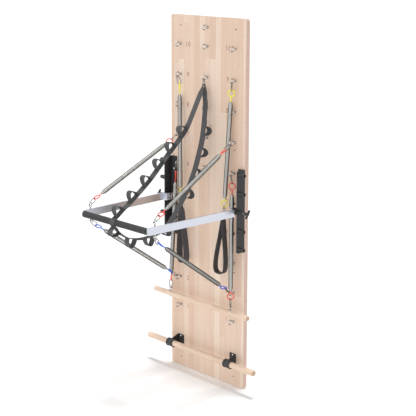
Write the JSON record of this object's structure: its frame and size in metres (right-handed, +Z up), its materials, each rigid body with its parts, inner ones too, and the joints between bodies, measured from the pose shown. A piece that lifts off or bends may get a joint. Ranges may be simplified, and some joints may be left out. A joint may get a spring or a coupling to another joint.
{
  "type": "pilates tower unit",
  "caption": "Wall-mounted wooden board with eyes, height brackets, a sprung push-through bar, pull springs with hand loops, a roll-down bar, a looped strap and a foot bar.",
  "frame": {"origin": "on the wall plane, in the middle of the board's width, at the height of the board's foot", "axes": "+X right when facing the board, +Y into the wall, +Z up"},
  "size_m": [0.9, 0.6862, 2],
  "materials": {
    "beech_board": "oiled, satin",
    "beech_bar": "oiled, satin",
    "bright_steel": "zinc plated",
    "spring_steel": "drawn wire",
    "black_steel": "matt black powder coat",
    "bar_aluminium": "satin",
    "black_plastic": "moulded, matt",
    "foam": "closed-cell foam",
    "webbing": "woven",
    "red_coat": "dipped coating",
    "blue_coat": "dipped coating",
    "yellow_coat": "dipped coating"
  },
  "bodies": {
    "tower": {"board": "beech_board", "eyes_left": "bright_steel", "eyes_right": "bright_steel", "eyes_centre": "bright_steel", "height_bracket_left": "black_steel", "height_bracket_right": "black_steel", "pivot_bushes": "black_steel", "bracket_screws": "bright_steel", "foot_bar": "beech_bar", "foot_bracket_left": "black_steel", "foot_bracket_right": "black_steel", "foot_bracket_screws": "bright_steel", "clamp_screws": "bright_steel", "wall_hooks": "bright_steel", "upper_rings_wall": "red_coat", "lower_rings_wall": "blue_coat", "upper_springs": "spring_steel", "lower_springs": "spring_steel", "strap_hook": "bright_steel", "looped_strap": "webbing", "strap_loops": "webbing"},
    "strap_gate": {"strap_gate": "bright_steel"},
    "push_bar": {"arm_left": "bar_aluminium", "arm_right": "bar_aluminium", "crossbar_tube": "bright_steel", "foam_grip": "foam", "arm_spacers": "black_plastic", "bar_eyes": "bright_steel", "bar_hooks": "bright_steel", "upper_rings_bar": "red_coat", "lower_rings_bar": "blue_coat"},
    "pin_left": {"pivot_pin_left": "bright_steel", "pin_handle_left": "black_plastic"},
    "pin_right": {"pivot_pin_right": "bright_steel", "pin_handle_right": "black_plastic"},
    "roll_hang": {"roll_hooks_top": "bright_steel", "roll_rings_top": "red_coat", "roll_springs": "spring_steel"},
    "roll_pull": {"roll_rings_low": "red_coat", "roll_hooks_low": "bright_steel", "roll_bar": "beech_bar", "roll_bar_eyes": "bright_steel", "roll_bar_nuts": "bright_steel"},
    "pull_hang_left": {"pull_hook_left": "bright_steel", "pull_top_ring_left": "yellow_coat", "pull_spring_left": "spring_steel"},
    "pull_gate_left": {"pull_gate_left": "bright_steel"},
    "pull_end_left": {"pull_low_ring_left": "yellow_coat", "loop_hook_left": "bright_steel"},
    "loop_gate_left": {"loop_gate_left": "bright_steel"},
    "hand_loop_left": {"hand_loop_left": "webbing"},
    "pull_hang_right": {"pull_hook_right": "bright_steel", "pull_top_ring_right": "yellow_coat", "pull_spring_right": "spring_steel"},
    "pull_gate_right": {"pull_gate_right": "bright_steel"},
    "pull_end_right": {"pull_low_ring_right": "yellow_coat", "loop_hook_right": "bright_steel"},
    "loop_gate_right": {"loop_gate_right": "bright_steel"},
    "hand_loop_right": {"hand_loop_right": "webbing"}
  },
  "joints": [
    {"name": "push_bar_swing", "type": "hinge", "parent": "tower", "child": "push_bar", "pos_m": [0, -0.0657, 0.9925], "axis": [-1, 0, 0], "range_deg": [-25, 25], "stiffness_Nm_per_rad": 150, "deforming": ["upper_springs", "lower_springs", "looped_strap", "strap_loops"]},
    {"name": "pin_pull_left", "type": "slide", "parent": "tower", "child": "pin_left", "axis": [-1, 0, 0], "range_m": [0, 0.11]},
    {"name": "pin_pull_right", "type": "slide", "parent": "tower", "child": "pin_right", "axis": [1, 0, 0], "range_m": [0, 0.11]},
    {"name": "pull_spring_swing_left", "type": "hinge", "parent": "tower", "child": "pull_hang_left", "pos_m": [-0.223, -0.05, 1.678], "axis": [-1, 0, 0], "range_deg": [0, 25]},
    {"name": "pull_spring_stretch_left", "type": "slide", "parent": "pull_hang_left", "child": "pull_end_left", "axis": [0.0471, -0.0303, -0.9984], "range_m": [0, 0.15], "stiffness_N_per_m": 250, "springref_m": -0.03, "deforming": ["pull_spring_left"]},
    {"name": "hand_loop_swing_left", "type": "hinge", "parent": "pull_end_left", "child": "hand_loop_left", "pos_m": [-0.17941, -0.0618, 0.97205], "axis": [-0.9765, 0.1736, -0.1274], "range_deg": [0, 40]},
    {"name": "pull_gate_open_left", "type": "hinge", "parent": "pull_hang_left", "child": "pull_gate_left", "pos_m": [-0.21372, -0.04305, 1.65562], "axis": [-0.4818, 0.8763, -0.0023], "range_deg": [0, 14], "stiffness_Nm_per_rad": 0.02, "springref_deg": -5.73},
    {"name": "loop_gate_open_left", "type": "hinge", "parent": "pull_end_left", "child": "loop_gate_left", "pos_m": [-0.18064, -0.05487, 0.99098], "axis": [-0.9765, 0.1736, -0.1274], "range_deg": [0, 14], "stiffness_Nm_per_rad": 0.02, "springref_deg": -5.73},
    {"name": "pull_spring_swing_right", "type": "hinge", "parent": "tower", "child": "pull_hang_right", "pos_m": [0.223, -0.05, 1.678], "axis": [-1, 0, 0], "range_deg": [0, 25]},
    {"name": "pull_spring_stretch_right", "type": "slide", "parent": "pull_hang_right", "child": "pull_end_right", "axis": [-0.0471, -0.0303, -0.9984], "range_m": [0, 0.15], "stiffness_N_per_m": 250, "springref_m": -0.03, "deforming": ["pull_spring_right"]},
    {"name": "hand_loop_swing_right", "type": "hinge", "parent": "pull_end_right", "child": "hand_loop_right", "pos_m": [0.17941, -0.0618, 0.97205], "axis": [-0.9765, -0.1736, 0.1274], "range_deg": [0, 40]},
    {"name": "pull_gate_open_right", "type": "hinge", "parent": "pull_hang_right", "child": "pull_gate_right", "pos_m": [0.21372, -0.04305, 1.65562], "axis": [-0.4818, -0.8763, 0.0023], "range_deg": [0, 14], "stiffness_Nm_per_rad": 0.02, "springref_deg": -5.73},
    {"name": "loop_gate_open_right", "type": "hinge", "parent": "pull_end_right", "child": "loop_gate_right", "pos_m": [0.18064, -0.05487, 0.99098], "axis": [-0.9765, -0.1736, 0.1274], "range_deg": [0, 14], "stiffness_Nm_per_rad": 0.02, "springref_deg": -5.73},
    {"name": "roll_bar_swing", "type": "hinge", "parent": "tower", "child": "roll_hang", "pos_m": [0, -0.05, 1.186], "axis": [-1, 0, 0], "range_deg": [0, 1]},
    {"name": "roll_bar_stretch", "type": "slide", "parent": "roll_hang", "child": "roll_pull", "axis": [0, -0.0355, -0.9994], "range_m": [0, 0.235], "stiffness_N_per_m": 900, "springref_m": -0.03, "deforming": ["roll_springs"]},
    {"name": "strap_gate_open", "type": "hinge", "parent": "tower", "child": "strap_gate", "pos_m": [-0.00586, -0.05, 1.65457], "axis": [0, -1, 0], "range_deg": [0, 11], "stiffness_Nm_per_rad": 0.02, "springref_deg": -5.73}
  ]
}
